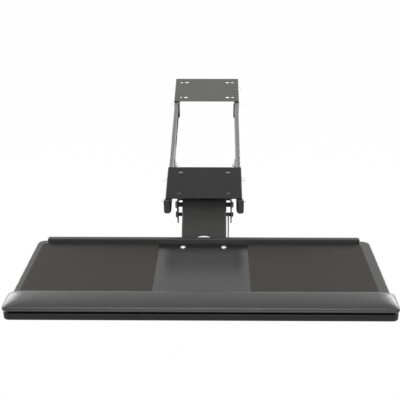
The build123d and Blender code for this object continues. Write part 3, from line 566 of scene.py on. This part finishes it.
def lacquer(name, level, roughness, gloss):
    """Satin lacquer with a faint wood-fibre ripple"""
    coat = Finish(name)
    ripple = coat.noise(size=0.004)
    cloud = coat.noise(size=0.05, detail=2.0)
    specks = coat.noise(size=0.0007, detail=2.0)
    colour = coat.blend(cloud, grey(level * 0.85), grey(level * 1.2))
    colour = coat.blend(coat.ramp(specks, 0.6, 0.75) * 0.3, colour, grey(level * 2.0))
    return coat.surface(
        Base_Color=colour,
        Roughness=roughness + 0.08 * ripple,
        Specular_IOR_Level=gloss,
        height=ripple,
        depth=0.00005,
    )


base = swept_solid("palm_rest_board_skin", base_points(rows=161))
base.data.materials.append(lacquer("base_lacquer", level=0.009, roughness=0.30, gloss=0.3))
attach(base, "tray")
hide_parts("palm_rest_base")


# Stop bar
# A moulded bar along the tray's rear edge that keeps things from sliding off, with
# rounded edges and ends.
bar_half = 0.321
bar_rear, bar_front, bar_height = -0.0070, -0.0187, 0.0116
bar_round = 0.0018
bar_foot_round = 0.0003


def bar_points(rows):
    """Rounded section carried along x, which shrinks on a quarter circle at both ends"""
    outline = rounded_outline(
        [(bar_rear, 0), (bar_rear, bar_height), (bar_front, bar_height), (bar_front, 0)],
        [bar_foot_round, bar_round, bar_round, bar_foot_round],
    )
    x = crowded_ends(rows, bar_half)
    inset = corner_inset(x, bar_half, bar_round)[:, None]
    middle = (bar_rear + bar_front) / 2
    v = middle + (outline[None, :, 0] - middle) * (1 - 2 * inset / (bar_rear - bar_front))
    n = outline[None, :, 1] * (1 - inset / bar_height)
    return on_tray(np.repeat(x[:, None], len(outline), axis=1), v, n)


bar = swept_solid("stop_bar_moulding", bar_points(rows=121))
bar.data.materials.append(
    moulded("stop_bar_plastic", level=0.045, roughness=0.36, grain_size=0.0007, depth=0.00004)
)
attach(bar, "tray")
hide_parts("rear_stop_bar")


# Palm rest core
# A narrow board between cushion and base, set back at the front and at both ends, where
# it leaves a dark groove.
def pillow_mesh(name, x, v, top, levels):
    """Closed mesh: a grid top, a wall of rings below its border, and a grid bottom.

    x, v and top are grids of places, and levels lists the wall's (offset, height) pairs.
    Each ring is the top's border moved outwards in plan by its offset."""
    rows, columns = x.shape
    index = np.arange(rows * columns).reshape(rows, columns)
    border = np.concatenate([index[:-1, 0], index[-1, :-1], index[:0:-1, -1], index[0, :0:-1]])
    edge = np.stack([x.ravel()[border], v.ravel()[border]], axis=1)
    along = np.roll(edge, -1, axis=0) - np.roll(edge, 1, axis=0)
    outward = np.stack([along[:, 1], -along[:, 0]], axis=1)
    outward /= np.linalg.norm(outward, axis=1, keepdims=True)
    middle = edge.mean(axis=0)
    if ((edge - middle) * outward).sum() < 0:
        outward = -outward
    corners = [on_tray(x, v, top).reshape(-1, 3)]
    faces = []
    last = border
    count = rows * columns
    for offset, height in levels:
        ring = edge + outward * offset
        corners.append(on_tray(ring[:, 0], ring[:, 1], np.full(len(ring), height)))
        here = np.arange(count, count + len(ring))
        faces.append(np.stack([last, np.roll(last, -1), np.roll(here, -1), here], axis=1))
        count += len(ring)
        last = here
    grid = np.stack([index[:-1, :-1], index[:-1, 1:], index[1:, 1:], index[1:, :-1]], axis=-1)
    faces.append(grid.reshape(-1, 4))
    offset, height = levels[-1]
    shrink = 1 + 2 * offset / (v.max() - v.min())
    low_v = (v - middle[1]) * shrink + middle[1]
    low = on_tray(x * (1 + offset / x.max()), low_v, np.full(x.shape, height))
    below = index + count
    below.ravel()[border] = last
    corners.append(low.reshape(-1, 3))
    grid = np.stack([below[:-1, :-1], below[1:, :-1], below[1:, 1:], below[:-1, 1:]], axis=-1)
    faces.append(grid.reshape(-1, 4))
    return smooth_mesh(name, np.vstack(corners), np.vstack(faces).tolist())


def plan_grid(rows, columns, half, rear, front, radius):
    """Grid over a rounded rectangle, its x, its v and how far each row draws in: rows go
    along x, and columns from its rear to its front"""
    x = crowded_ends(rows, half)
    inset = corner_inset(x, half, radius)
    share = (1 - np.cos(np.linspace(0, math.pi, columns))) / 2
    v = (rear - inset)[:, None] + (front - rear + 2 * inset)[:, None] * share[None, :]
    return np.repeat(x[:, None], columns, axis=1), v, inset


core_half = 0.341
core_front = -0.289
core_corner = 0.009
core_gap = 0.0001
cushion_foot = -0.0046
core_x, core_v, _ = plan_grid(61, 7, core_half, rest_rear, core_front, core_corner)
core_top = np.full(core_x.shape, cushion_foot - core_gap)
core = pillow_mesh("palm_rest_core", core_x, core_v, core_top, [(0, base_top)])
# Its lacquer is a lighter grey than the base's, which paints light into the shaded groove.
core.data.materials.append(lacquer("groove_lacquer_painted_light", level=0.060, roughness=0.60, gloss=0.2))
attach(core, "tray")
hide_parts("palm_rest_board")


# Palm rest cushion
# Firm foam under a charcoal leatherette skin, crowned along the tray's front edge and
# drawn down at its ends, with a pinched groove and a rolled welt round its foot.
cushion_half = 0.348
cushion_front = -0.298
cushion_border = 0.0008
cushion_crown = 0.0124
cushion_crown_v = -0.2560
cushion_corner = 0.009
cushion_end = 0.034
rear_slope_power = 1.9
front_round_power = 1.85
end_round_power = 2.1
slow_waves = ((0.00018, 41, 19, 0), (0.00012, 97, -60, 1.3))
wave_fade = 1.4
gather_height = 0.00016
gather_place = 0.318
gather_spread = 0.016
gather_slant = 0.35
gather_pitch = 0.0075
groove_depth = 0.0011
groove_levels = (0.0003, -0.0003)
groove_first_share = 0.35
welt_radius = 0.0020
welt_start, welt_end = 0.10, 0.86


def cushion_top(x, v, inset):
    """Height of the cushion's top over its plan.

    From the rear edge it climbs to the crown on a power curve, and falls to the front on a
    superellipse. Both ends fall on a superellipse over cushion_end. Slow waves of a few
    tenths of a millimetre, and faint gathers by the ends, keep it from looking moulded."""
    rear = rest_rear - inset[:, None]
    front = cushion_front + inset[:, None]
    rise = np.clip((rear - v) / (rear - cushion_crown_v), 0, 1)
    fall = np.clip((cushion_crown_v - v) / (cushion_crown_v - front), 0, 1)
    behind = 1 - (1 - rise) ** rear_slope_power
    before = np.sqrt(np.clip(1 - fall**front_round_power, 0, 1))
    section = np.where(v > cushion_crown_v, behind, before)
    past = np.clip((np.abs(x) - (cushion_half - cushion_end)) / cushion_end, 0, 1)
    end = np.sqrt(np.clip(1 - past**end_round_power, 0, 1))
    waves = sum(
        height * np.sin(x * along + v * across + phase)
        for height, along, across, phase in slow_waves
    )
    near_end = np.exp(-(((np.abs(x) - gather_place) / gather_spread) ** 2))
    slanted = v + np.abs(x) * gather_slant
    gathers = gather_height * near_end * np.sin(slanted * math.tau / gather_pitch)
    soft = section * end
    unevenness = (waves + gathers) * soft * np.clip(wave_fade - soft, 0, 1)
    return cushion_border + (cushion_crown - cushion_border) * soft + unevenness


def welt_levels(steps):
    """Wall of the cushion: a pinched groove, then half a turn round the welt to the foot"""
    middle = cushion_foot + welt_radius
    groove = list(zip((-groove_depth * groove_first_share, -groove_depth), groove_levels))
    for turn in np.linspace(welt_start, welt_end, steps) * math.pi:
        offset = -welt_radius + welt_radius * math.sin(turn)
        groove.append((offset, middle + welt_radius * math.cos(turn)))
    return groove


cushion_x, cushion_v, cushion_inset = plan_grid(
    301, 61, cushion_half, rest_rear, cushion_front, cushion_corner
)
cushion_n = cushion_top(cushion_x, cushion_v, cushion_inset)
cushion = pillow_mesh("soft_palm_rest", cushion_x, cushion_v, cushion_n, welt_levels(steps=9))


def leatherette(name, level):
    """Soft skin: irregular fine cells with a satin sheen"""
    skin = Finish(name)
    warp = skin.noise(size=0.004, detail=2.0)
    valley_depth_and_shade = skin.ramp(skin.cells(size=0.0013), 0.0, 0.18)
    cloud = skin.noise(size=0.07)
    # Darker colour in the grooves between the cells is painted shade.
    colour = skin.blend(valley_depth_and_shade, grey(level * 0.7, 0.01), grey(level * 1.06, 0.01))
    colour = skin.blend(cloud * 0.25, colour, grey(level * 1.2, 0.015))
    return skin.surface(
        Base_Color=colour,
        Roughness=0.32 + 0.1 * cloud + 0.05 * warp,
        Specular_IOR_Level=0.6,
        height=valley_depth_and_shade * 0.7 + warp * 0.3,
        depth=0.00004,
    )


cushion.data.materials.append(leatherette("leatherette_skin", level=0.040))
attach(cushion, "tray")
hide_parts("palm_rest_cushion")
